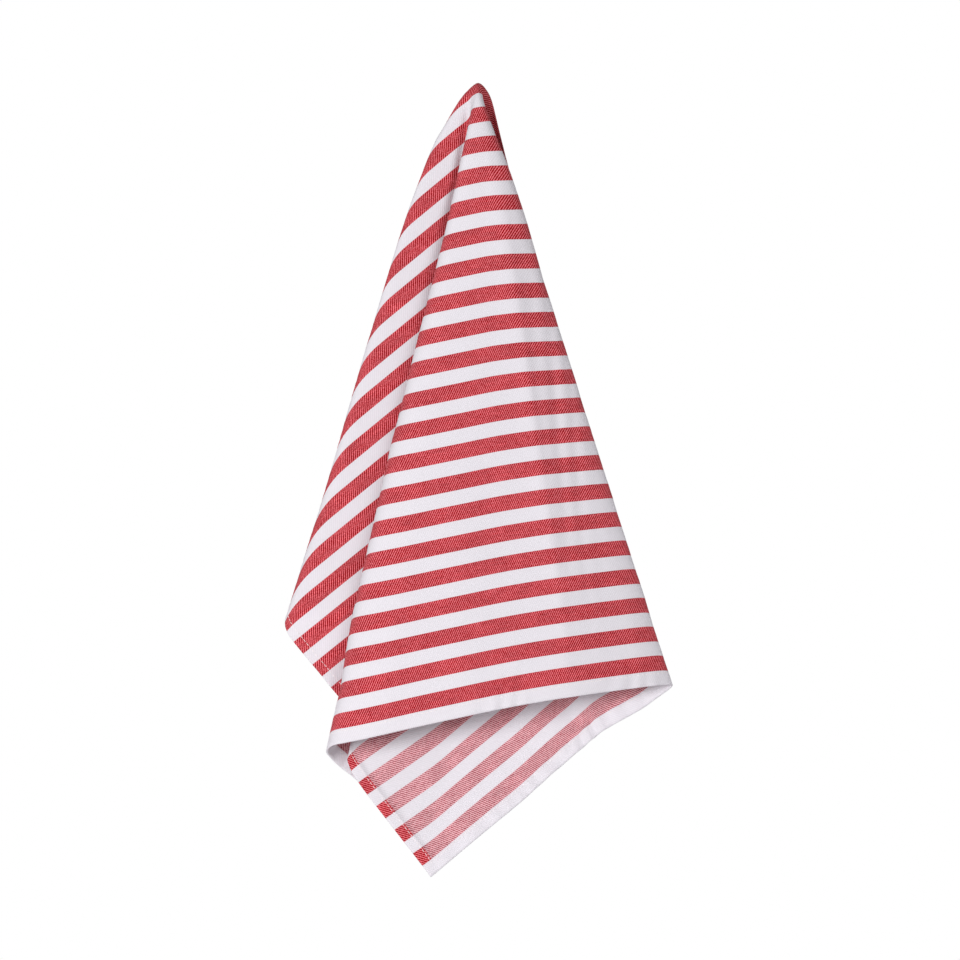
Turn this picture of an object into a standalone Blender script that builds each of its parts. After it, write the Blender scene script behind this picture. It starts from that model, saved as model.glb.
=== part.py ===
"""A tea towel that hangs from one point.

One rectangle of striped cotton twill with four turned hems is held up at a point near its
middle. The cloth falls from that point like a fan and lies in folds round the vertical
line under it. Units are metres, +Z is up, and the front looks along -Y. The origin is the
underside of the peak, where a hook would carry the cloth.

A place on the flat cloth is given by its distance from the hanging point and by its turn:
0 degrees along the stripes to the right, 90 down the front, 180 to the left and -90 up
over the back. A place in the hung cloth is given by its drop, its swing to the right of
straight down as seen from the front, and its depth behind the hanging point.
"""

import math
from collections import namedtuple

import bmesh
import bpy
import numpy as np

# The flat cloth
CLOTH_LENGTH = 0.700        # along the stripes
CLOTH_WIDTH = 0.500         # across the stripes
HANG_FROM_LEFT = 0.3451     # the hanging point, from the left side hem
HANG_FROM_TOP = 0.0722      # the hanging point, from the upper long edge
CLOTH_THICKNESS = 0.0015
HEM_THICKNESS = 0.0022
SIDE_HEM = 0.008            # width of the turned hem on the two short sides
LONG_HEM = 0.010            # width of the turned hem on the two long sides
HEM_STEP = 0.0015           # width over which the cloth thickens into its hem

# The peak
PEAK_ROUND = 0.003          # rounding of the tip of the fan
DOME_RISE = 0.010           # distance over which the cloth spreads round the peak
DOME_SPREAD_RIGHT = 0.009   # how far it stands out on the right
DOME_SPREAD_LEFT = 0.0145   # and on the left
DOME_FADE_RIGHT = 0.042     # distance over which the folds take over on the right
DOME_FADE_LEFT = 0.029      # and on the left
DOME_TURNS = (-170.0, 3.0, 190.0, 363.0)      # turns that face left, right, left, right
DOME_FACINGS = (-180.0, 0.0, 180.0, 360.0)

# The folds
FOLD_NEAR = 0.050           # distance from the peak at which the near columns hold
FOLD_FAR = 0.430            # distance from the peak at which the far columns hold
FOLD_SETTLE = 0.110         # distance over which turn and swing change between the two
PEAK_DEPTH_POWER = 0.75     # how the depth opens between the peak and FOLD_NEAR
PEAK_SOFTENING = 0.6        # share by which the folds are rounder at the peak
WINDOW_SAMPLES = 17         # samples of the window that rounds the folds
WINDOW_EDGE_WEIGHT = 0.15   # weight at the window's edges, against 1 in its middle
WINDOW_WIDEST = 150.0       # degrees, close to the peak

# Turns and swings are in degrees. soft is the half width of cloth that rounds a fold off,
# bow is the swing gained halfway down, and steps counts the faces up to the next row.
Fold = namedtuple("Fold", "name turn_near turn_far swing_near swing_far depth_near depth_far "
                          "soft_near soft_far bow steps")
FOLDS = (
    Fold("flap_left", -170.0, -168.0, -17.0, 13.0, 0.0120, 0.0460, 0.010, 0.012, 0.0, 11),
    Fold("flap_outer_left", -125.0, -125.0, -9.0, 16.0, 0.0330, 0.0500, 0.021, 0.021, 0.0, 11),
    Fold("flap_inner", -80.0, -80.0, 1.0, 16.0, 0.0130, 0.0400, 0.018, 0.018, 0.0, 9),
    Fold("flap_outer_right", -42.0, -42.0, 8.5, 12.0, 0.0280, 0.0400, 0.018, 0.018, 0.0, 7),
    Fold("flap_right", -16.0, -13.0, 17.0, 12.0, 0.0080, 0.0340, 0.010, 0.012, 0.0, 4),
    Fold("strip_edge", 0.0, -3.0, 19.0, 17.0, 0.0010, 0.0160, 0.008, 0.014, 0.0, 4),
    Fold("strip_front", 10.0, 3.0, 16.0, 16.5, -0.0020, 0.0060, 0.008, 0.014, 0.0, 4),
    Fold("strip_fold_1", 15.0, 11.0, 11.5, 11.5, -0.0010, 0.0240, 0.010, 0.014, 0.0, 5),
    Fold("strip_fold_2", 20.0, 19.0, 7.0, 7.0, -0.0020, 0.0060, 0.010, 0.014, 0.0, 4),
    Fold("strip_fold_3", 26.0, 26.0, 1.5, 2.5, -0.0010, 0.0340, 0.010, 0.014, 0.0, 4),
    Fold("strip_middle", 33.0, 33.0, -4.0, -3.0, -0.0022, 0.0060, 0.010, 0.014, 0.0, 4),
    Fold("tuck_back", 40.5, 41.2, -9.5, -10.6, -0.0025, 0.0030, 0.008, 0.010, 0.0, 3),
    Fold("tuck_front", 43.5, 43.0, -9.5, -10.9, -0.0068, -0.0040, 0.008, 0.010, 0.0, 2),
    Fold("under_hem", 44.7, 44.7, -8.6, -9.3, -0.0072, -0.0050, 0.008, 0.006, 0.0, 4),
    Fold("under_corner", 50.3, 50.3, -4.0, -3.4, -0.0075, -0.0040, 0.008, 0.008, 0.0, 3),
    Fold("under_low", 58.6, 58.6, 2.6, 3.5, -0.0078, -0.0060, 0.010, 0.012, 0.0, 3),
    Fold("under_middle", 66.0, 66.0, 8.2, 8.7, -0.0080, -0.0110, 0.010, 0.014, 0.0, 5),
    Fold("under_right", 76.4, 76.2, 18.0, 16.8, -0.0080, -0.0230, 0.010, 0.014, 0.0, 3),
    Fold("right_fold", 78.6, 78.6, 18.6, 18.3, -0.0114, -0.0300, 0.010, 0.012, 0.0, 3),
    Fold("front_right", 81.0, 81.0, 17.8, 16.6, -0.0146, -0.0370, 0.010, 0.014, 0.0, 4),
    Fold("front_crease", 89.4, 89.4, 9.0, 8.9, -0.0168, -0.0470, 0.007, 0.004, 0.0, 4),
    Fold("front_middle", 102.0, 102.0, -2.4, -1.6, -0.0160, -0.0430, 0.010, 0.014, 0.0, 3),
    Fold("front_left", 110.5, 110.5, -10.3, -9.2, -0.0140, -0.0350, 0.011, 0.014, -0.4, 3),
    Fold("ridge_front", 114.5, 114.4, -12.6, -13.0, -0.0110, -0.0230, 0.012, 0.014, -0.9, 3),
    Fold("ridge_back", 118.5, 117.0, -12.4, -12.6, -0.0010, 0.0060, 0.012, 0.014, -0.9, 3),
    Fold("side_left", 121.0, 120.5, -9.0, -9.4, 0.0000, 0.0150, 0.011, 0.012, 0.0, 4),
    Fold("valley_front", 128.0, 129.0, -2.5, -3.0, 0.0005, 0.0200, 0.011, 0.012, 0.0, 4),
    Fold("valley_back", 132.0, 132.5, -5.8, -3.7, 0.0045, 0.0290, 0.011, 0.012, 0.0, 3),
    Fold("wing_middle", 146.0, 140.0, -19.8, -11.2, 0.0045, 0.0330, 0.010, 0.014, 0.0, 4),
    Fold("wing_edge", 161.0, 148.3, -34.8, -19.6, 0.0045, 0.0350, 0.012, 0.012, 0.0, 4),
    Fold("back_edge", 167.0, 151.3, -34.8, -19.8, 0.0095, 0.0460, 0.012, 0.012, 0.0, 4),
    Fold("back_fold_1", 171.5, 157.0, -32.0, -14.5, 0.0130, 0.0560, 0.010, 0.014, 0.0, 4),
    Fold("back_fold_2", 175.0, 163.5, -29.5, -9.0, 0.0145, 0.0440, 0.010, 0.014, 0.0, 4),
    Fold("back_fold_3", 178.0, 170.0, -27.0, -3.5, 0.0150, 0.0570, 0.010, 0.014, 0.0, 4),
    Fold("back_fold_4", 182.0, 177.5, -24.0, 2.0, 0.0145, 0.0450, 0.010, 0.014, 0.0, 4),
    Fold("back_fold_5", 186.0, 185.0, -20.5, 7.5, 0.0135, 0.0570, 0.010, 0.014, 0.0, 4),
)

# How far down a unit of cloth reaches, by turn: folds that lean in depth reach less far.
Reach = namedtuple("Reach", "turn share")
REACHES = (
    Reach(-180.0, 0.989),
    Reach(30.0, 0.987),
    Reach(50.3, 0.985),
    Reach(78.0, 0.998),
    Reach(113.0, 0.998),
    Reach(120.0, 0.988),
    Reach(129.0, 0.972),
    Reach(134.0, 0.985),
    Reach(146.0, 0.989),
    Reach(180.0, 0.989),
)

# The rings of faces
PEAK_RINGS = (0.009, 0.020, 0.034, 0.048)  # distances of the round rings near the peak
PEAK_COLUMNS = 3        # columns of faces that run into one near the peak
BODY_RINGS = 9          # rings from the last of those to the hem
BODY_RING_POWER = 1.5   # crowds them towards the peak
CLOSEST_TURNS = 0.6     # degrees between neighbouring columns of faces

# Finish
COTTON_COLOUR = (0.78, 0.55, 0.55, 1.0)
COTTON_ROUGHNESS = 0.9


def column(name):
    """One column of the fold table."""
    return np.array([getattr(fold, name) for fold in FOLDS])


COLUMNS = {name: column(name) for name in Fold._fields if name != "name"}


def between(name, share):
    """A column pair, share of the way from its near to its far values."""
    near = COLUMNS[name + "_near"]
    return near + (COLUMNS[name + "_far"] - near) * share


def fold_rows_at(distance):
    """Turn, swing, depth and softness of each fold at a distance from the peak."""
    below_near = max(distance - FOLD_NEAR, 0.0)
    fold_length = FOLD_FAR - FOLD_NEAR
    settled = 1.0 - math.exp(-below_near / FOLD_SETTLE)
    settled /= 1.0 - math.exp(-fold_length / FOLD_SETTLE)
    share = (distance - FOLD_NEAR) / fold_length
    bulge = max(0.0, 4.0 * share * (1.0 - share))
    turn = between("turn", settled)
    swing = between("swing", settled) + COLUMNS["bow"] * bulge
    if distance >= FOLD_NEAR:
        depth = between("depth", share)
    else:
        depth = COLUMNS["depth_near"] * (distance / FOLD_NEAR) ** PEAK_DEPTH_POWER
    soft = between("soft", min(max(2.0 * share, 0.0), 1.0))
    soft = soft * (1.0 + PEAK_SOFTENING * max(0.0, 1.0 - distance / FOLD_NEAR))
    return turn, swing, depth, soft


def dome_spread(distance, facing):
    """How far the cloth stands out from the line under the peak, before its folds."""
    right = DOME_SPREAD_RIGHT * math.exp(-distance / DOME_FADE_RIGHT)
    left = DOME_SPREAD_LEFT * math.exp(-distance / DOME_FADE_LEFT)
    leftness = (1.0 - math.cos(facing)) / 2
    return math.tanh(distance / DOME_RISE) * (right + (left - right) * leftness)


def hung_point(distance, turn):
    """Where the middle of the cloth's thickness hangs, as x, y and z."""
    if distance <= 0.0:
        return 0.0, 0.0, CLOTH_THICKNESS / 2
    turns, swings, depths, softs = fold_rows_at(distance)
    turns = np.concatenate([turns - 360.0, turns, turns + 360.0])
    swings = np.tile(swings, 3)
    depths = np.tile(depths, 3)
    softs = np.tile(softs, 3)
    window = math.degrees(np.interp(turn, turns, softs) / distance)
    window = min(window, WINDOW_WIDEST)
    offsets = np.linspace(-1.0, 1.0, WINDOW_SAMPLES)
    weights = 1.0 - (1.0 - WINDOW_EDGE_WEIGHT) * np.abs(offsets)
    weights /= weights.sum()
    swing = math.radians(np.dot(weights, np.interp(turn + offsets * window, turns, swings)))
    depth = np.dot(weights, np.interp(turn + offsets * window, turns, depths))

    wrapped = (turn + 180.0) % 360.0 - 180.0
    reach = np.interp(wrapped, [row.turn for row in REACHES], [row.share for row in REACHES])
    drop = (math.hypot(distance, PEAK_ROUND) - PEAK_ROUND) * reach
    facing = math.radians(np.interp(turn, DOME_TURNS, DOME_FACINGS))
    spread = dome_spread(distance, facing)
    x = drop * math.sin(swing) + spread * math.cos(facing)
    y = depth - spread * math.sin(facing)
    z = CLOTH_THICKNESS / 2 - drop * math.cos(swing)
    return x, y, z


def cloth_edges(side_inset, long_inset):
    """Left, right, upper and lower edge of the flat cloth, drawn in by the insets."""
    left = -HANG_FROM_LEFT + side_inset
    right = CLOTH_LENGTH - HANG_FROM_LEFT - side_inset
    upper = -HANG_FROM_TOP + long_inset
    lower = CLOTH_WIDTH - HANG_FROM_TOP - long_inset
    return left, right, upper, lower


def edge_distance(turn, side_inset=0.0, long_inset=0.0):
    """Distance from the hanging point to the edge of the flat cloth along a turn."""
    left, right, upper, lower = cloth_edges(side_inset, long_inset)
    along = math.cos(math.radians(turn))
    across = math.sin(math.radians(turn))
    distances = []
    if abs(along) > 1e-9:
        distances.append((right if along > 0.0 else left) / along)
    if abs(across) > 1e-9:
        distances.append((lower if across > 0.0 else upper) / across)
    return min(distances)


def corner_turns(side_inset, long_inset):
    """Turns of the four corners of the flat cloth, drawn in by the insets."""
    left, right, upper, lower = cloth_edges(side_inset, long_inset)
    return [math.degrees(math.atan2(across, along))
            for along in (left, right) for across in (upper, lower)]


def apart(turn, other):
    """Degrees between two turns, the short way round."""
    return abs((turn - other + 180.0) % 360.0 - 180.0)


def mesh_turns():
    """The turns at which the cloth is cut into faces, closer together in the folds."""
    corners = corner_turns(0.0, 0.0)
    corners += [inner for inner in corner_turns(SIDE_HEM, LONG_HEM)
                if min(apart(inner, corner) for corner in corners) > CLOSEST_TURNS]
    starts = COLUMNS["turn_far"]
    ends = np.append(starts[1:], starts[0] + 360.0)
    turns = []
    for start, end, steps in zip(starts, ends, COLUMNS["steps"]):
        turns += [start + (end - start) * step / steps for step in range(int(steps))]
    turns = [turn for turn in turns
             if min(apart(turn, corner) for corner in corners) > CLOSEST_TURNS]
    first = starts[0]
    turns += [corner if corner >= first else corner + 360.0 for corner in corners]
    return sorted(turns)


def ring_distances(turn):
    """Distances from the peak of the points along a turn: on the body and in the hem."""
    hem_line = edge_distance(turn, SIDE_HEM, LONG_HEM)
    start = PEAK_RINGS[-1]
    body = [start + (hem_line - start) * (ring / BODY_RINGS) ** BODY_RING_POWER
            for ring in range(1, BODY_RINGS + 1)]
    hem = [edge_distance(turn, SIDE_HEM - HEM_STEP, LONG_HEM - HEM_STEP), edge_distance(turn)]
    return body, hem


def add_strips(surface, spokes):
    """Faces between neighbouring spokes of points, all the way round."""
    for spoke, following in zip(spokes, spokes[1:] + spokes[:1]):
        for ring in range(len(spoke) - 1):
            corners = (spoke[ring], spoke[ring + 1], following[ring + 1], following[ring])
            surface.faces.new(corners)


def cloth_surface():
    """The hung cloth as an open surface, with its hems in a vertex group."""
    mesh = bpy.data.meshes.new("tea_towel")
    surface = bmesh.new()
    thickness = surface.verts.layers.deform.verify()
    body_share = CLOTH_THICKNESS / HEM_THICKNESS

    def add_point(distance, turn, share):
        point = surface.verts.new(hung_point(distance, turn))
        point[thickness][0] = share
        return point

    turns = mesh_turns()
    spokes = []
    for turn in turns:
        body, hem = ring_distances(turn)
        spoke = [add_point(distance, turn, body_share) for distance in body]
        spoke += [add_point(distance, turn, 1.0) for distance in hem]
        spokes.append(spoke)
    add_strips(surface, spokes)

    peak = add_point(0.0, 0.0, body_share)
    starts = range(0, len(spokes), PEAK_COLUMNS)
    peak_spokes = [[add_point(distance, turns[start], body_share) for distance in PEAK_RINGS]
                   for start in starts]
    add_strips(surface, peak_spokes)
    for start, spoke, following in zip(starts, peak_spokes, peak_spokes[1:] + peak_spokes[:1]):
        surface.faces.new((peak, spoke[0], following[0]))
        rim = [spokes[column % len(spokes)][0]
               for column in range(start, min(start + PEAK_COLUMNS, len(spokes)) + 1)]
        surface.faces.new([spoke[-1]] + rim + [following[-1]])
    bmesh.ops.triangulate(surface, faces=surface.faces[:])
    surface.to_mesh(mesh)
    surface.free()
    return mesh


def cotton_material():
    material = bpy.data.materials.new("striped_cotton_twill")
    material.use_nodes = True
    shader = material.node_tree.nodes["Principled BSDF"]
    shader.inputs["Base Color"].default_value = COTTON_COLOUR
    shader.inputs["Roughness"].default_value = COTTON_ROUGHNESS
    shader.inputs["Metallic"].default_value = 0.0
    return material


def make_tea_towel(collection):
    towel = bpy.data.objects.new("tea_towel", cloth_surface())
    towel.data.materials.append(cotton_material())
    towel.data.shade_smooth()
    towel.vertex_groups.new(name="thickness")
    collection.objects.link(towel)
    thicken = towel.modifiers.new("thickness", "SOLIDIFY")
    thicken.thickness = HEM_THICKNESS
    thicken.offset = 0.0
    thicken.vertex_group = "thickness"
    return towel


def main():
    for thing in list(bpy.data.objects):
        bpy.data.objects.remove(thing, do_unlink=True)
    collection = bpy.data.collections.new("tea_towel")
    bpy.context.scene.collection.children.link(collection)
    make_tea_towel(collection)


main()
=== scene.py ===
"""Looks of a tea towel that hangs from one point: striped cotton twill with turned hems.

The cloth is one closed mesh of a face side, a reverse side and a rim. It hangs as the CAD
solid does: the fold table below is part.py's, with a few folds moved, tightened or added.
The mesh follows the threads of the flat cloth, so that hems, creases and stripes lie
straight in it. Units are metres.

A place on the flat cloth is given as along, to the right of the hanging point and along the
stripes, and across, down from it. The fold table gives it by distance and turn instead: 0
degrees to the right, 90 down the front, 180 to the left and -90 up over the back.
"""

import math
from collections import namedtuple

import bpy
import numpy as np
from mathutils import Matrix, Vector, noise


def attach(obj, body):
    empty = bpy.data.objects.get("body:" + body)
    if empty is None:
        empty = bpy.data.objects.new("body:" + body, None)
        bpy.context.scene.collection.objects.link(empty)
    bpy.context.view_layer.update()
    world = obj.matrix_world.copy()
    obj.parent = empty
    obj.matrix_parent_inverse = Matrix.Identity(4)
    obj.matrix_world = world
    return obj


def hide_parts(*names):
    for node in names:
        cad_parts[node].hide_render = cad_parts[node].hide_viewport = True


# The photograph: where the peak stands in it, in pixels, and its scale at the peak
PICTURE_SIDE = 960
PEAK_PIXEL = (478.0, 83.4)
PIXELS_PER_METRE = 1460.0
CAMERA_DISTANCE = 6.0
CAMERA_REACH = 100.0
SENSOR_WIDTH = 36.0         # millimetres, as Blender counts it

# The studio
FLOOR_HEIGHT = -0.75
FLOOR_RADIUS = 2.0
FLOOR_SIDES = 96
FLOOR_CLEAR = 0.5           # from here on the floor fades into the white studio
FLOOR_COLOUR = (0.92, 0.92, 0.92)
FLOOR_ROUGHNESS = 0.9
AMBIENT = 0.33
LAMP_SIZE = 1.2
LAMP_TARGET = (0.0, 0.0, -0.25)
Lamp = namedtuple("Lamp", "name place power")
LAMPS = (
    Lamp("key", (-1.25, -2.45, 0.0), 67.0),
    Lamp("rear", (-0.5, 2.6, 0.3), 45.0),
    Lamp("side", (2.4, 1.1, 0.2), 25.0),
)

# The flat cloth, as in part.py
CLOTH_LENGTH = 0.700
CLOTH_WIDTH = 0.500
HANG_FROM_LEFT = 0.3451
HANG_FROM_TOP = 0.0722
SIDE_HEM = 0.008
LONG_HEM = 0.010

# How thick it shows
BODY_THICKNESS = 0.0008
HEM_THICKNESS = 0.0015      # the turned cloth lies on the reverse side
HEM_STEP = 0.0007           # width over which the reverse side rises onto the hem
EDGE_ROUND = 0.0004         # rounding of the outer edges

# The stripes, across from the peak
STRIPE_PITCH = 0.0204
STRIPE_WIDTH = 0.0106
PEAK_STRIPE = 0.0045        # the middle of the red stripe that runs over the peak
WHITE_EDGE = 0.0075         # the long edges stay white at least this far in

# The peak, where the folds haven't formed yet and the cloth lies over a small dome
PEAK_MIDDLE = 0.00075       # height of the middle of the cloth at the peak
PEAK_ROUND = 0.003
AT_PEAK = 1e-6              # a distance that counts as none
DOME_RISE_RIGHT = 0.010
DOME_RISE_LEFT = 0.018
DOME_SPREAD_RIGHT = 0.009
DOME_SPREAD_LEFT = 0.0145
DOME_FADE_RIGHT = 0.042
DOME_FADE_LEFT = 0.029
Facing = namedtuple("Facing", "turn facing")
DOME_FACINGS = (
    Facing(-170.0, -180.0),
    Facing(3.0, 0.0),
    Facing(80.0, 92.0),
    Facing(114.0, 100.0),
    Facing(190.0, 180.0),
    Facing(363.0, 360.0),
)

# The folds: the table gives each at a near and a far distance from the peak
FOLD_NEAR = 0.050
FOLD_FAR = 0.430
FOLD_SETTLE = 0.110         # length over which turn and swing go to their far values
SOFT_SETTLED = 0.5          # share of the way at which the softness has its far value
PEAK_DEPTH_POWER = 0.75
NEAR_SOFTNESS = 0.5         # near the peak the folds are this share as soft as the table says
# Each fold is rounded by a mean over a window that is as wide as it is soft
WINDOW_SAMPLES = 17
WINDOW_EDGE_WEIGHT = 0.15
WINDOW_WIDEST = 150.0

Fold = namedtuple("Fold", "name turn_near turn_far swing_near swing_far depth_near depth_far "
                          "soft_near soft_far bow")
FOLDS = (
    Fold("flap_left", -170.0, -168.0, -17.0, 13.0, 0.0120, 0.0460, 0.010, 0.012, 0.0),
    Fold("flap_outer_left", -125.0, -125.0, -9.0, 16.0, 0.0330, 0.0500, 0.021, 0.021, 0.0),
    Fold("flap_inner", -80.0, -80.0, 1.0, 16.0, 0.0130, 0.0400, 0.018, 0.018, 0.0),
    Fold("flap_outer_right", -42.0, -42.0, 8.5, 12.0, 0.0280, 0.0400, 0.018, 0.018, 0.0),
    Fold("flap_right", -16.0, -13.0, 16.0, 12.0, 0.0155, 0.0360, 0.010, 0.012, 0.0),
    Fold("strip_edge", 0.0, -3.0, 19.0, 17.0, -0.0010, 0.0160, 0.014, 0.014, 0.0),
    Fold("strip_front", 10.0, 3.0, 16.0, 16.5, 0.0045, 0.0010, 0.008, 0.014, 0.0),
    Fold("strip_fold_1", 15.0, 11.0, 11.5, 11.5, 0.0080, 0.0240, 0.010, 0.014, 0.0),
    Fold("strip_fold_2", 20.0, 19.0, 7.0, 7.0, -0.0020, 0.0060, 0.010, 0.014, 0.0),
    Fold("strip_fold_3", 26.0, 26.0, 1.5, 2.5, -0.0010, 0.0340, 0.010, 0.014, 0.0),
    Fold("strip_middle", 33.0, 33.0, -4.0, -3.0, -0.0022, 0.0060, 0.010, 0.014, 0.0),
    Fold("tuck_back", 40.5, 41.2, -9.5, -10.6, -0.0025, 0.0030, 0.008, 0.010, 0.0),
    Fold("tuck_front", 43.5, 43.0, -9.5, -10.9, -0.0068, -0.0040, 0.008, 0.010, 0.0),
    Fold("under_hem", 44.7, 44.7, -8.6, -9.3, -0.0072, -0.0050, 0.008, 0.006, 0.0),
    Fold("under_corner", 50.3, 50.3, -4.0, -3.4, -0.0075, -0.0040, 0.008, 0.008, 0.0),
    Fold("under_low", 58.6, 58.6, 2.6, 3.5, -0.0078, -0.0060, 0.010, 0.012, 0.0),
    Fold("under_middle", 66.0, 66.0, 8.2, 8.7, -0.0080, -0.0110, 0.010, 0.014, 0.0),
    Fold("under_bend_low", 69.5, 69.5, 11.8, 10.9, -0.0080, -0.0150, 0.010, 0.010, 0.0),
    Fold("under_bend_high", 73.2, 73.2, 15.7, 14.9, -0.0080, -0.0200, 0.010, 0.010, 0.0),
    Fold("under_right", 76.4, 76.2, 19.0, 16.8, -0.0080, -0.0230, 0.010, 0.014, 0.0),
    Fold("right_fold", 78.6, 78.6, 19.6, 18.3, -0.0114, -0.0300, 0.010, 0.012, 0.0),
    Fold("front_right", 81.0, 81.0, 18.7, 16.6, -0.0146, -0.0370, 0.010, 0.014, 0.0),
    Fold("front_crease", 89.4, 89.4, 9.0, 8.9, -0.0168, -0.0470, 0.007, 0.004, 0.0),
    Fold("front_middle", 102.0, 102.0, -2.4, -1.6, -0.0160, -0.0430, 0.010, 0.014, 0.0),
    Fold("front_left", 110.5, 110.5, -10.3, -9.2, -0.0140, -0.0350, 0.011, 0.014, -0.4),
    Fold("ridge_front", 114.5, 114.4, -12.6, -13.0, -0.0110, -0.0230, 0.012, 0.014, -0.9),
    Fold("ridge_back", 118.5, 117.0, -12.4, -12.6, -0.0010, 0.0060, 0.012, 0.014, -0.9),
    Fold("side_left", 121.0, 120.5, -9.0, -9.4, 0.0000, 0.0150, 0.011, 0.012, 0.0),
    Fold("valley_front", 128.0, 129.0, -2.5, -3.0, 0.0005, 0.0200, 0.011, 0.012, 0.0),
    Fold("valley_back", 132.0, 132.5, -5.8, -3.7, 0.0045, 0.0290, 0.011, 0.012, 0.0),
    Fold("wing_valley", 136.0, 137.8, -9.8, -9.0, 0.0110, 0.0430, 0.008, 0.008, 0.0),
    Fold("wing_middle", 141.0, 142.8, -14.8, -14.0, 0.0035, 0.0280, 0.006, 0.006, 0.0),
    Fold("wing_edge", 161.0, 148.3, -34.8, -19.6, 0.0045, 0.0350, 0.012, 0.012, 0.0),
    Fold("back_edge", 167.0, 151.3, -34.8, -19.8, 0.0095, 0.0460, 0.012, 0.012, 0.0),
    Fold("back_fold_1", 171.5, 157.0, -32.0, -14.5, 0.0130, 0.0560, 0.010, 0.014, 0.0),
    Fold("back_fold_2", 175.0, 163.5, -29.5, -9.0, 0.0145, 0.0440, 0.010, 0.014, 0.0),
    Fold("back_fold_3", 178.0, 170.0, -27.0, -3.5, 0.0150, 0.0570, 0.010, 0.014, 0.0),
    Fold("back_fold_4", 182.0, 177.5, -24.0, 2.0, 0.0145, 0.0450, 0.010, 0.014, 0.0),
    Fold("back_fold_5", 186.0, 185.0, -20.5, 7.5, 0.0135, 0.0570, 0.010, 0.014, 0.0),
)

# The folds use up some length: how far down the cloth reaches, as a share of its own
Reach = namedtuple("Reach", "turn share")
REACHES = (
    Reach(-180.0, 0.989),
    Reach(30.0, 0.987),
    Reach(50.3, 0.985),
    Reach(78.0, 0.998),
    Reach(113.0, 0.998),
    Reach(120.0, 0.988),
    Reach(129.0, 0.972),
    Reach(134.0, 0.985),
    Reach(146.0, 0.989),
    Reach(180.0, 0.989),
)

# The cloth gives on its bias and slips down beside the front's right edge
Slip = namedtuple("Slip", "distance length")
SLIPS = (
    Slip(0.030, 0.0),
    Slip(0.060, 0.0018),
    Slip(0.120, 0.0028),
    Slip(0.185, 0.0033),
    Slip(0.225, 0.0023),
    Slip(0.290, 0.0017),
    Slip(0.330, 0.0008),
    Slip(0.400, 0.0),
)
SlipTurn = namedtuple("SlipTurn", "turn share")
SLIP_TURNS = (
    SlipTurn(66.0, 0.0),
    SlipTurn(76.0, 0.8),
    SlipTurn(81.0, 1.0),
    SlipTurn(89.4, 0.25),
    SlipTurn(96.0, 0.0),
)

# The mesh follows the threads, finer near the peak and in the hems
FINE_THREADS = 0.0015
COARSE_THREADS = 0.0040
FINE_REACH = 0.045          # distance from the peak up to which it is fine
COARSE_REACH = 0.110        # and from which it is coarse
HEM_LINES = (0.20, 0.45, 0.70, 0.84, 0.94, 1.0)     # shares of a hem's width, from its edge

# The crease where the cloth was folded in half and pressed, and its height at each place
PRESSED_CREASE = CLOTH_LENGTH / 2 - HANG_FROM_LEFT
CREASE_REACH = 0.016        # how far its two sides take to level out
CREASE_TIP = 0.0004         # rounding of its edge
Crease = namedtuple("Crease", "across height")
CREASE_ROWS = (
    Crease(0.040, 0.0),
    Crease(0.090, 0.0028),
    Crease(0.300, 0.0024),
    Crease(0.370, 0.0004),
    Crease(0.428, -0.0010),
)

# Wrinkles: smooth noise over the flat cloth, which keeps off the peak
NOISE_START = 0.02          # distance from the peak at which they begin
NOISE_FULL = 0.09           # and from which they are whole
Noise = namedtuple("Noise", "amount size seed")
SLACK = Noise(0.0009, 0.075, 3.7)           # broad unevenness of the hung cloth
RUMPLE = Noise(0.0003, 0.022, 9.1)          # and its finer wrinkles
Crumple = namedtuple("Crumple", "along across reach_along reach_across height length turn")
CRUMPLES = (                # ripples that run on at one place, and how they lie
    Crumple(-0.245, 0.420, 0.022, 0.014, 0.0016, 0.011, 15.0),
    Crumple(0.165, 0.424, 0.035, 0.012, 0.0014, 0.015, 0.0),
    Crumple(0.180, 0.395, 0.030, 0.030, 0.0018, 0.040, 40.0),
    Crumple(0.024, 0.230, 0.014, 0.110, 0.0004, 0.013, 4.0),
)

# Puckers: ripples along the hems, uneven in height and in length
PUCKER_HEIGHT = 0.0008
PUCKER_LENGTH = 0.019
PUCKER_REACH = 0.012
PUCKER_SIDE_SHARE = 0.5     # of the height, along the two short sides
PUCKER_STEADY = 0.7         # share of the height that is the same all along
PUCKER_SWELL = Noise(1.6, 0.05, 5.5)        # and the part that swells and fades
PUCKER_SHIFT = Noise(2.2, 0.07, 1.3)        # how far they shift, in lengths
Pucker = namedtuple("Pucker", "turn share")
PUCKER_ROWS = (
    Pucker(-180.0, 0.6),
    Pucker(40.0, 0.6),
    Pucker(52.0, 0.8),
    Pucker(60.0, 1.2),
    Pucker(76.0, 0.9),
    Pucker(80.0, 0.5),
    Pucker(95.0, 0.9),
    Pucker(112.0, 0.7),
    Pucker(117.0, 1.2),
    Pucker(128.0, 1.0),
    Pucker(135.0, 0.3),
    Pucker(150.0, 0.3),
    Pucker(180.0, 0.6),
)

# Stitching
STITCH_LINE = 0.84          # share of the hem's width at which it is sewn
STITCH_PITCH = 0.0032
STITCH_LENGTH = 0.0025
STITCH_SIDES = 6
THREAD_RADIUS = 0.00017
Ring = namedtuple("Ring", "place thickness height")     # in half lengths and thread radii
STITCH_RINGS = (
    Ring(-1.0, 0.45, -0.8),
    Ring(-0.75, 1.0, 0.25),
    Ring(0.0, 1.1, 0.55),
    Ring(0.75, 1.0, 0.25),
    Ring(1.0, 0.45, -0.8),
)

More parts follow.
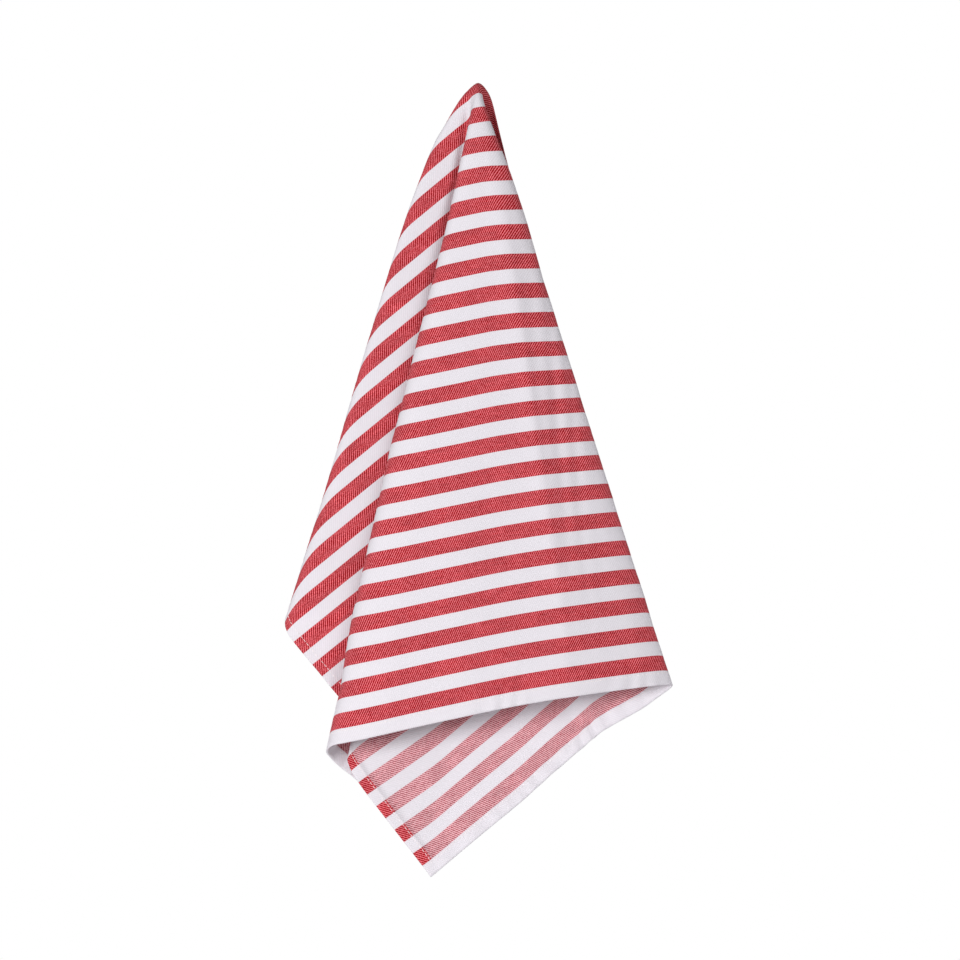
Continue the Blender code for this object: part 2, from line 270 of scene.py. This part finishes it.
# Weave: four threads to a rib of the twill
WARP_PITCH = 0.00060        # across the stripes
WEFT_PITCH = 0.00044        # along them
TWILL_THREADS = 4
RIB_EDGE = (-0.6, 0.0)      # where the rib's sine goes from valley to rib
RIB_RELIEF = 0.7            # shares of the bump
THREAD_RELIEF = 0.3
BUMP_STRENGTH = 0.45
BUMP_DEPTH = 0.00015

# Unevenness of the weave: noise per metre along and across, its band, and what it gives
Grain = namedtuple("Grain", "scale band effect detail")
STRAYS = Grain((1300.0, 1500.0), (0.2, 0.8), (-0.7, 0.7), 2.0)  # threads out of their place
SLUB = Grain((60.0, 1800.0), (0.3, 0.7), (0.84, 1.12), 2.0)     # uneven warp threads
MOTTLE = Grain((45.0, 45.0), (0.3, 0.7), (0.94, 1.06), 3.0)

# Colours and finish
RED_RIBS = (0.34, 0.0, 0.003)
RED_PICKS = (0.91, 0.205, 0.240)    # where the white weft shows between the red ribs
WHITE_RIBS = (0.82, 0.788, 0.836)
# painted shade: the white between the ribs is darkened as if shaded
WHITE_VALLEYS_SHADED = (0.77, 0.74, 0.785)
PINK_RIBS = (0.88, 0.50, 0.535)     # the reverse, mostly white weft
PINK_VALLEYS = (0.36, 0.05, 0.075)
COTTON_ROUGHNESS = 0.88
COTTON_SPECULAR = 0.08
SHEEN_WEIGHT = 0.04
SHEEN_ROUGHNESS = 0.6
THROUGH_SHARE = 0.20                # of the light goes through the cloth
THREAD_WHITE = (0.86, 0.80, 0.80)
THREAD_ROUGHNESS = 0.6


def read_table(table, place):
    """The second column of a table at a place in its first, also between its rows."""
    places, values = zip(*table)
    return np.interp(place, places, values)


def column(name):
    """One column of the fold table."""
    return np.array([getattr(fold, name) for fold in FOLDS])


COLUMNS = {name: column(name) for name in Fold._fields if name != "name"}
COLUMNS["soft_near"] *= NEAR_SOFTNESS


def between(name, share):
    """A measure of all folds, at a share of the way from near to far."""
    near = COLUMNS[name + "_near"]
    return near + (COLUMNS[name + "_far"] - near) * share


def fold_rows_at(distance):
    """Turn, swing, depth and softness of each fold at a distance from the peak."""
    below_near = max(distance - FOLD_NEAR, 0.0)
    fold_length = FOLD_FAR - FOLD_NEAR
    settled = 1.0 - math.exp(-below_near / FOLD_SETTLE)
    settled /= 1.0 - math.exp(-fold_length / FOLD_SETTLE)
    share = (distance - FOLD_NEAR) / fold_length
    bulge = max(0.0, 4.0 * share * (1.0 - share))
    turn = between("turn", settled)
    swing = between("swing", settled) + COLUMNS["bow"] * bulge
    if distance >= FOLD_NEAR:
        depth = between("depth", share)
    else:
        depth = COLUMNS["depth_near"] * (distance / FOLD_NEAR) ** PEAK_DEPTH_POWER
    soft = between("soft", min(max(share / SOFT_SETTLED, 0.0), 1.0))
    return turn, swing, depth, soft


def dome_spread(distance, facing):
    """How far the cloth stands out from the line under the peak, before its folds."""
    right = DOME_SPREAD_RIGHT * math.exp(-distance / DOME_FADE_RIGHT)
    right *= math.tanh(distance / DOME_RISE_RIGHT)
    left = DOME_SPREAD_LEFT * math.exp(-distance / DOME_FADE_LEFT)
    left *= math.tanh(distance / DOME_RISE_LEFT)
    return right + (left - right) * (1.0 - math.cos(facing)) / 2


def hung_point(along, across):
    """Where the middle of the cloth's thickness hangs, before its wrinkles."""
    distance = math.hypot(along, across)
    if distance < AT_PEAK:
        return 0.0, 0.0, PEAK_MIDDLE
    turn = math.degrees(math.atan2(across, along))
    if turn < COLUMNS["turn_far"][0]:
        turn += 360.0
    turns, swings, depths, softs = fold_rows_at(distance)
    turns = np.concatenate([turns - 360.0, turns, turns + 360.0])
    swings = np.tile(swings, 3)
    depths = np.tile(depths, 3)
    softs = np.tile(softs, 3)
    window = math.degrees(np.interp(turn, turns, softs) / distance)
    window = min(window, WINDOW_WIDEST)
    offsets = np.linspace(-1.0, 1.0, WINDOW_SAMPLES)
    weights = 1.0 - (1.0 - WINDOW_EDGE_WEIGHT) * np.abs(offsets)
    weights /= weights.sum()
    samples = turn + offsets * window
    swing = math.radians(np.dot(weights, np.interp(samples, turns, swings)))
    depth = np.dot(weights, np.interp(samples, turns, depths))

    wrapped = (turn + 180.0) % 360.0 - 180.0
    drop = (math.hypot(distance, PEAK_ROUND) - PEAK_ROUND) * read_table(REACHES, wrapped)
    drop += read_table(SLIPS, distance) * read_table(SLIP_TURNS, turn)
    facing = math.radians(read_table(DOME_FACINGS, turn))
    spread = dome_spread(distance, facing)
    x = drop * math.sin(swing) + spread * math.cos(facing)
    y = depth - spread * math.sin(facing)
    z = PEAK_MIDDLE - drop * math.cos(swing)
    return x, y, z


def smooth_step(value, start, end):
    """0 up to start and 1 from end on, eased in between."""
    share = np.clip((value - start) / (end - start), 0.0, 1.0)
    return share * share * (3.0 - 2.0 * share)


def thread_lines(low, high, hem):
    """Where the mesh's lines lie, from one edge of the cloth to the other."""
    def run(length):
        """Steps away from the peak, which grow with the distance."""
        places = [0.0]
        while places[-1] < length:
            coarse = smooth_step(places[-1], FINE_REACH, COARSE_REACH)
            step = FINE_THREADS + (COARSE_THREADS - FINE_THREADS) * coarse
            places.append(places[-1] + step)
        return np.array(places) * length / places[-1]

    inner = hem + HEM_STEP
    body = np.concatenate([-run(-low - inner)[:0:-1], run(high - inner)])
    edge = np.array([EDGE_ROUND] + [share * hem for share in HEM_LINES])
    return np.concatenate([low + edge, body, (high - edge)[::-1]])


class Cloth:
    """The cloth as a grid of its threads: places on the flat cloth, and where they hang."""

    def __init__(self):
        self.left, self.right = -HANG_FROM_LEFT, CLOTH_LENGTH - HANG_FROM_LEFT
        self.upper, self.lower = -HANG_FROM_TOP, CLOTH_WIDTH - HANG_FROM_TOP
        self.columns = thread_lines(self.left, self.right, SIDE_HEM)
        self.rows = thread_lines(self.upper, self.lower, LONG_HEM)
        self.along, self.across = np.meshgrid(self.columns, self.rows, indexing="ij")
        smooth = self.hang()
        self.middle = smooth + self.normals(smooth) * self.wrinkles()[..., None]
        self.normal = self.normals(self.middle)

    def hang(self):
        """Where each crossing of the grid hangs, before its wrinkles."""
        places = [hung_point(a, b) for a, b in zip(self.along.ravel(), self.across.ravel())]
        return np.array(places).reshape(self.along.shape + (3,))

    def slopes(self, points):
        """How points on the grid move for a step along and for one across."""
        return (np.gradient(points, self.columns, axis=0),
                np.gradient(points, self.rows, axis=1))

    def normals(self, points):
        """Directions out of the face side."""
        on_along, on_across = self.slopes(points)
        normal = np.cross(on_across, on_along)
        return normal / np.linalg.norm(normal, axis=-1, keepdims=True)

    def insets(self):
        """Distances from the nearer side edge and from the nearer long edge."""
        side = np.minimum(self.along - self.left, self.right - self.along)
        long = np.minimum(self.across - self.upper, self.lower - self.across)
        return side, long

    def hem_share(self):
        """0 on the body and 1 on the turned hems."""
        side, long = self.insets()
        side_share = 1.0 - smooth_step(side, SIDE_HEM, SIDE_HEM + HEM_STEP)
        long_share = 1.0 - smooth_step(long, LONG_HEM, LONG_HEM + HEM_STEP)
        return np.maximum(side_share, long_share)

    def noise(self, kind):
        """One of the smooth noises, over the flat cloth."""
        values = [noise.noise(Vector((a / kind.size, b / kind.size, kind.seed)))
                  for a, b in zip(self.along.ravel(), self.across.ravel())]
        return kind.amount * np.array(values).reshape(self.along.shape)

    def wrinkles(self):
        """How far the cloth stands out from its smooth folds, on the face side."""
        away = smooth_step(np.hypot(self.along, self.across), NOISE_START, NOISE_FULL)
        slack = self.noise(SLACK) * away
        rumple = self.noise(RUMPLE) * away
        from_crease = np.hypot(self.along - PRESSED_CREASE, CREASE_TIP)
        crease = read_table(CREASE_ROWS, self.across) * np.exp(-from_crease / CREASE_REACH)
        crumples = sum(self.crumple(place) for place in CRUMPLES)
        return slack + rumple + crease + self.puckers() * away + crumples

    def puckers(self):
        """Ripples along the hems."""
        side, long = self.insets()
        turn = np.degrees(np.arctan2(self.across, self.along))
        uneven = read_table(PUCKER_ROWS, turn) * (PUCKER_STEADY + self.noise(PUCKER_SWELL))
        phase = self.noise(PUCKER_SHIFT)
        along_long = np.sin(2 * math.pi * (self.along / PUCKER_LENGTH + phase))
        along_side = np.sin(2 * math.pi * (self.across / PUCKER_LENGTH + phase))
        ripples = along_long * np.exp(-long / PUCKER_REACH)
        ripples += PUCKER_SIDE_SHARE * along_side * np.exp(-side / PUCKER_REACH)
        return PUCKER_HEIGHT * uneven * ripples

    def crumple(self, place):
        """Ripples at one place, which fade out around it."""
        along, across = self.along - place.along, self.across - place.across
        turn = math.radians(place.turn)
        phase = along * math.cos(turn) + across * math.sin(turn)
        fade = np.exp(-(along / place.reach_along) ** 2 - (across / place.reach_across) ** 2)
        return place.height * fade * np.sin(2 * math.pi * phase / place.length)

    def at(self, along, across):
        """Middle of the thickness and normal at one place, from the mesh's own faces."""
        column = int(np.clip(np.searchsorted(self.columns, along) - 1,
                             0, len(self.columns) - 2))
        row = int(np.clip(np.searchsorted(self.rows, across) - 1, 0, len(self.rows) - 2))
        left, right = self.columns[column:column + 2]
        upper, lower = self.rows[row:row + 2]
        a = (along - left) / (right - left)
        b = (across - upper) / (lower - upper)

        def blend(grid):
            near = grid[column, row] * (1 - a) + grid[column + 1, row] * a
            far = grid[column, row + 1] * (1 - a) + grid[column + 1, row + 1] * a
            return near * (1 - b) + far * b

        normal = blend(self.normal)
        return blend(self.middle), normal / np.linalg.norm(normal)


def add_object(name, data):
    """A new object in the scene."""
    thing = bpy.data.objects.new(name, data)
    bpy.context.scene.collection.objects.link(thing)
    return thing


def make_rim(cloth, ring, face, reverse):
    """The rim's line round the edge: where it hangs, and its places on the flat cloth."""
    flat = np.stack([cloth.along, cloth.across], axis=-1).reshape(-1, 2)[ring]
    outward = np.zeros_like(flat)
    for axis, lines in enumerate((cloth.columns, cloth.rows)):
        place = flat[:, axis]
        outward[:, axis] += np.isclose(place, lines[-1])
        outward[:, axis] -= np.isclose(place, lines[0])
    on_along, on_across = [slope.reshape(-1, 3)[ring] for slope in cloth.slopes(cloth.middle)]
    rim = (face.reshape(-1, 3)[ring] + reverse.reshape(-1, 3)[ring]) / 2
    rim = rim + EDGE_ROUND * (on_along * outward[:, :1] + on_across * outward[:, 1:])
    return rim, flat + EDGE_ROUND * outward


def make_cloth(cloth, face_material, reverse_material):
    """The towel: a face side, a reverse side that rises onto the hems, and a rim."""
    face = cloth.middle + cloth.normal * (BODY_THICKNESS / 2)
    hem_rise = (HEM_THICKNESS - BODY_THICKNESS) * cloth.hem_share()
    reverse = cloth.middle - cloth.normal * (BODY_THICKNESS / 2 + hem_rise)[..., None]
    flat = np.stack([cloth.along, cloth.across], axis=-1).reshape(-1, 2)
    count = len(flat)
    index = np.arange(count).reshape(cloth.along.shape)
    ring = np.concatenate([index[:, 0], index[-1, 1:], index[-2::-1, -1], index[0, -2:0:-1]])
    rim, rim_flat = make_rim(cloth, ring, face, reverse)
    vertices = np.concatenate([face.reshape(-1, 3), reverse.reshape(-1, 3), rim])
    places = np.concatenate([flat, flat, rim_flat])

    a, b = index[:-1, :-1].ravel(), index[1:, :-1].ravel()
    c, d = index[1:, 1:].ravel(), index[:-1, 1:].ravel()
    face_quads = np.stack([a, d, c, b], axis=1)
    reverse_quads = np.stack([a, b, c, d], axis=1) + count
    rim_index = 2 * count + np.arange(len(ring))
    following, next_rim = np.roll(ring, -1), np.roll(rim_index, -1)
    quads = np.concatenate([
        face_quads,
        reverse_quads,
        np.stack([ring, following, next_rim, rim_index], axis=1),
        np.stack([rim_index, next_rim, following + count, ring + count], axis=1),
    ])

    mesh = bpy.data.meshes.new("towel_cloth")
    mesh.from_pydata(vertices.tolist(), [], quads.tolist())
    mesh.materials.append(face_material)
    mesh.materials.append(reverse_material)
    slots = np.zeros(len(quads), dtype=np.int32)
    slots[len(face_quads):len(face_quads) + len(reverse_quads)] = 1
    mesh.polygons.foreach_set("material_index", slots)
    uv = mesh.uv_layers.new(name="threads")
    uv.data.foreach_set("uv", places[quads.ravel()].ravel())
    mesh.shade_smooth()
    return add_object("towel_cloth", mesh)


def stitch_runs(cloth):
    """Ends of the four lines of sewing, as places on the flat cloth."""
    side, long = STITCH_LINE * SIDE_HEM, STITCH_LINE * LONG_HEM
    left, right = cloth.left + side, cloth.right - side
    upper, lower = cloth.upper + long, cloth.lower - long
    corners = [(left, upper), (right, upper), (right, lower), (left, lower)]
    return list(zip(corners, corners[1:] + corners[:1]))


def make_stitching(cloth, material):
    """Every stitch of the hems as a short thread that dives into the cloth at both ends."""
    vertices, faces = [], []

    def add_stitch(start, end, side, out):
        """A stitch on the face, side 1, or on the reverse, side -1, out from the middle."""
        ends = []
        for place in (start, end):
            middle, normal = cloth.at(*place)
            ends.append((middle + side * normal * out, side * normal))
        low, high = ends
        direction = high[0] - low[0]
        half = np.linalg.norm(direction) / 2
        direction = direction / (2 * half)
        up = low[1] + high[1]
        up = up / np.linalg.norm(up)
        across = np.cross(direction, up)
        first = len(vertices)
        for ring in STITCH_RINGS:
            centre = (low[0] + high[0]) / 2 + direction * half * ring.place
            centre = centre + up * THREAD_RADIUS * ring.height
            for corner in range(STITCH_SIDES):
                angle = 2 * math.pi * corner / STITCH_SIDES
                vertices.append(centre + THREAD_RADIUS * ring.thickness
                                * (math.cos(angle) * across + math.sin(angle) * up))
        last = first + (len(STITCH_RINGS) - 1) * STITCH_SIDES
        for start_of_ring in range(first, last, STITCH_SIDES):
            for corner in range(STITCH_SIDES):
                a = start_of_ring + corner
                b = start_of_ring + (corner + 1) % STITCH_SIDES
                faces.append((a, b, b + STITCH_SIDES, a + STITCH_SIDES))
        faces.append(tuple(first + corner for corner in reversed(range(STITCH_SIDES))))
        faces.append(tuple(last + corner for corner in range(STITCH_SIDES)))

    for start, end in stitch_runs(cloth):
        start, end = np.array(start), np.array(end)
        length = np.linalg.norm(end - start)
        direction = (end - start) / length
        count = int(length / STITCH_PITCH)
        for stitch in range(count):
            at = start + direction * (stitch + 0.5) * length / count
            reach = direction * STITCH_LENGTH / 2
            add_stitch(at - reach, at + reach, 1.0, BODY_THICKNESS / 2)
            turned = at + direction * STITCH_PITCH / 2
            out = HEM_THICKNESS - BODY_THICKNESS / 2
            add_stitch(turned - reach, turned + reach, -1.0, out)

    mesh = bpy.data.meshes.new("hem_stitching")
    mesh.from_pydata([tuple(vertex) for vertex in vertices], [], faces)
    mesh.materials.append(material)
    mesh.shade_smooth()
    return add_object("hem_stitching", mesh)


class Nodes:
    """Short names for the nodes of one material."""

    def __init__(self, name):
        self.material = bpy.data.materials.new(name)
        self.material.use_nodes = True
        self.tree = self.material.node_tree
        self.shader = self.tree.nodes["Principled BSDF"]

    def put(self, value, socket):
        """Link a socket, or set it to a constant."""
        if isinstance(value, bpy.types.NodeSocket):
            self.tree.links.new(value, socket)
        elif isinstance(value, tuple) and len(value) == 3 and len(socket.default_value) == 4:
            socket.default_value = (*value, 1.0)
        else:
            socket.default_value = value

    def new(self, kind):
        return self.tree.nodes.new("ShaderNode" + kind)

    def math(self, operation, *values):
        node = self.new("Math")
        node.operation = operation
        for value, socket in zip(values, node.inputs):
            self.put(value, socket)
        return node.outputs[0]

    def fit(self, value, low, high, to_low=0.0, to_high=1.0):
        """value from low..high to to_low..to_high, eased and held at the ends."""
        node = self.new("MapRange")
        node.interpolation_type = "SMOOTHSTEP"
        for amount, socket in zip((value, low, high, to_low, to_high), node.inputs):
            self.put(amount, socket)
        return node.outputs[0]

    def mix(self, share, first, second):
        """A colour between two others. The node's colour sockets have no names of their own."""
        node = self.new("Mix")
        node.data_type = "RGBA"
        self.put(share, node.inputs["Factor"])
        self.put(first, node.inputs[6])
        self.put(second, node.inputs[7])
        return node.outputs[2]

    def mix_shaders(self, share, first, second):
        """The material's surface, as a mix of two shaders."""
        node = self.new("MixShader")
        for value, socket in zip((share, first, second), node.inputs):
            self.put(value, socket)
        self.put(node.outputs[0], self.tree.nodes["Material Output"].inputs["Surface"])

    def scaled(self, colour, amount):
        """colour made lighter or darker by amount."""
        node = self.new("VectorMath")
        node.operation = "SCALE"
        self.put(colour, node.inputs[0])
        self.put(amount, node.inputs["Scale"])
        return node.outputs[0]

    def grain(self, along, across, kind):
        """One of the weave's noises over the flat cloth."""
        vector = self.new("CombineXYZ")
        self.put(self.math("MULTIPLY", along, kind.scale[0]), vector.inputs[0])
        self.put(self.math("MULTIPLY", across, kind.scale[1]), vector.inputs[1])
        node = self.new("TexNoise")
        node.inputs["Scale"].default_value = 1.0
        node.inputs["Detail"].default_value = kind.detail
        self.put(vector.outputs[0], node.inputs["Vector"])
        return self.fit(node.outputs["Fac"], *kind.band, *kind.effect)

    def thread_height(self, threads):
        """0 between two threads and 1 on top of one."""
        wave = self.math("SINE", self.math("MULTIPLY", threads, math.pi))
        return self.math("ABSOLUTE", wave)

    def flat_place(self):
        """along and across of the flat cloth."""
        uv = self.new("UVMap")
        uv.uv_map = "threads"
        parts = self.new("SeparateXYZ")
        self.put(uv.outputs[0], parts.inputs[0])
        return parts.outputs[0], parts.outputs[1]


def stripe_share(nodes, across):
    """1 on a red stripe and 0 on a white one."""
    shifted = nodes.math("ADD", across, STRIPE_PITCH / 2 - PEAK_STRIPE)
    place = nodes.math("SUBTRACT", nodes.math("FLOORED_MODULO", shifted, STRIPE_PITCH),
                       STRIPE_PITCH / 2)
    from_middle = nodes.math("ABSOLUTE", place)
    blur = WARP_PITCH / 3
    red = nodes.fit(from_middle, STRIPE_WIDTH / 2 + blur, STRIPE_WIDTH / 2 - blur)
    started = nodes.math("GREATER_THAN", across, WHITE_EDGE - HANG_FROM_TOP)
    ended = nodes.math("LESS_THAN", across, CLOTH_WIDTH - HANG_FROM_TOP - WHITE_EDGE)
    return nodes.math("MULTIPLY", red, nodes.math("MULTIPLY", started, ended))


def side_hem_share(nodes, along):
    """1 on the two side hems, where the face is turned onto the reverse, and 0 elsewhere."""
    side = nodes.math("MINIMUM", nodes.math("SUBTRACT", along, -HANG_FROM_LEFT),
                      nodes.math("SUBTRACT", CLOTH_LENGTH - HANG_FROM_LEFT, along))
    return nodes.math("LESS_THAN", side, SIDE_HEM)


def cotton(name, reverse):
    """Striped twill, with painted shade in the valleys between the white ribs. On the reverse
    the white weft covers most of the red.
    """
    nodes = Nodes(name)
    along, across = nodes.flat_place()
    threads_along = nodes.math("DIVIDE", along, WEFT_PITCH)
    threads_across = nodes.math("DIVIDE", across, WARP_PITCH)
    threads = nodes.math("ADD", threads_along, threads_across)
    strays = nodes.grain(along, across, STRAYS)
    rib_turn = nodes.math("MULTIPLY", nodes.math("ADD", threads, strays),
                          2 * math.pi / TWILL_THREADS)
    rib = nodes.math("SINE", rib_turn)

    red = stripe_share(nodes, across)
    uneven = nodes.math("MULTIPLY", nodes.grain(along, across, SLUB),
                        nodes.grain(along, across, MOTTLE))
    raised = nodes.fit(rib, *RIB_EDGE)
    # the white stripes carry painted shade in the valleys between their ribs
    white = nodes.mix(raised, WHITE_VALLEYS_SHADED, WHITE_RIBS)
    face_red = nodes.mix(raised, RED_PICKS, RED_RIBS)
    colour = nodes.mix(red, white, nodes.scaled(face_red, uneven))
    if reverse:
        back_red = nodes.mix(raised, PINK_VALLEYS, PINK_RIBS)
        back_colour = nodes.mix(red, white, nodes.scaled(back_red, uneven))
        colour = nodes.mix(side_hem_share(nodes, along), back_colour, colour)
    thread = nodes.thread_height(threads_along if reverse else threads_across)
    height = nodes.math("ADD", nodes.math("MULTIPLY", rib, RIB_RELIEF),
                        nodes.math("MULTIPLY", thread, THREAD_RELIEF))

    nodes.put(colour, nodes.shader.inputs["Base Color"])
    nodes.shader.inputs["Roughness"].default_value = COTTON_ROUGHNESS
    nodes.shader.inputs["Specular IOR Level"].default_value = COTTON_SPECULAR
    nodes.shader.inputs["Sheen Weight"].default_value = SHEEN_WEIGHT
    nodes.shader.inputs["Sheen Roughness"].default_value = SHEEN_ROUGHNESS
    bump = nodes.new("Bump")
    bump.inputs["Strength"].default_value = BUMP_STRENGTH
    bump.inputs["Distance"].default_value = BUMP_DEPTH
    nodes.put(height, bump.inputs["Height"])
    nodes.put(bump.outputs[0], nodes.shader.inputs["Normal"])
    through = nodes.new("BsdfTranslucent")
    nodes.put(colour, through.inputs["Color"])
    nodes.mix_shaders(THROUGH_SHARE, nodes.shader.outputs[0], through.outputs[0])
    return nodes.material


def thread_material():
    nodes = Nodes("sewing_thread")
    nodes.put(THREAD_WHITE, nodes.shader.inputs["Base Color"])
    nodes.shader.inputs["Roughness"].default_value = THREAD_ROUGHNESS
    return nodes.material


def make_floor():
    """A plain pale floor that fades into the white studio."""
    pale = Nodes("pale_floor")
    pale.put(FLOOR_COLOUR, pale.shader.inputs["Base Color"])
    pale.shader.inputs["Roughness"].default_value = FLOOR_ROUGHNESS
    place = pale.new("TexCoord")
    distance = pale.new("VectorMath")
    distance.operation = "LENGTH"
    pale.put(place.outputs["Object"], distance.inputs[0])
    faded = pale.fit(distance.outputs["Value"], FLOOR_CLEAR, FLOOR_RADIUS)
    clear = pale.new("BsdfTransparent")
    pale.mix_shaders(faded, pale.shader.outputs[0], clear.outputs[0])
    bpy.ops.mesh.primitive_circle_add(vertices=FLOOR_SIDES, radius=FLOOR_RADIUS,
                                      fill_type="NGON", location=(0.0, 0.0, FLOOR_HEIGHT))
    floor = bpy.context.object
    floor.name = "floor"
    floor.data.materials.append(pale.material)


def make_studio():
    """A studio that shows white and lights the cloth softly from all sides."""
    world = bpy.data.worlds.new("studio")
    world.use_nodes = True
    tree = world.node_tree
    background = tree.nodes["Background"]
    path = tree.nodes.new("ShaderNodeLightPath")
    strength = tree.nodes.new("ShaderNodeMapRange")
    tree.links.new(path.outputs["Is Camera Ray"], strength.inputs["Value"])
    strength.inputs["To Min"].default_value = AMBIENT
    strength.inputs["To Max"].default_value = 1.0
    tree.links.new(strength.outputs[0], background.inputs["Strength"])
    background.inputs["Color"].default_value = (1.0, 1.0, 1.0, 1.0)
    bpy.context.scene.world = world


def make_lamps():
    """Soft light, mostly from the front left."""
    for lamp in LAMPS:
        light = bpy.data.lights.new(lamp.name, "AREA")
        light.shape = "DISK"
        light.size = LAMP_SIZE
        light.energy = lamp.power
        thing = add_object(lamp.name, light)
        thing.location = lamp.place
        aim = Vector(LAMP_TARGET) - Vector(lamp.place)
        thing.rotation_euler = aim.to_track_quat("-Z", "Y").to_euler()


def make_camera():
    """The photograph's view: level, straight from the front, through a long lens."""
    data = bpy.data.cameras.new("photograph")
    data.sensor_width = SENSOR_WIDTH
    data.lens = SENSOR_WIDTH * CAMERA_DISTANCE * PIXELS_PER_METRE / PICTURE_SIDE
    data.clip_end = CAMERA_REACH
    camera = add_object("photograph", data)
    half = PICTURE_SIDE / 2
    camera.location = ((half - PEAK_PIXEL[0]) / PIXELS_PER_METRE, -CAMERA_DISTANCE,
                       PEAK_MIDDLE - (half - PEAK_PIXEL[1]) / PIXELS_PER_METRE)
    camera.rotation_euler = (math.pi / 2, 0.0, 0.0)
    bpy.context.scene.camera = camera


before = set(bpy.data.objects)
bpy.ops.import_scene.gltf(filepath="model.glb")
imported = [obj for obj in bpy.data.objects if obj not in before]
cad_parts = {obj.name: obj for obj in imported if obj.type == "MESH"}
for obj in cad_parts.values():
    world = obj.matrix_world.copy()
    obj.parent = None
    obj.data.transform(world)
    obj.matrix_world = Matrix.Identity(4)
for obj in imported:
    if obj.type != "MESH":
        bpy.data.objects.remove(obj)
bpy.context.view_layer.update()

make_camera()
make_floor()
make_studio()
make_lamps()
bpy.context.scene.view_settings.view_transform = "Standard"

towel_cloth = Cloth()
towel = make_cloth(towel_cloth, cotton("cotton_twill_face", reverse=False),
                   cotton("cotton_twill_reverse", reverse=True))
stitching = make_stitching(towel_cloth, thread_material())
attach(towel, "root")
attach(stitching, "root")
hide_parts("tea_towel")
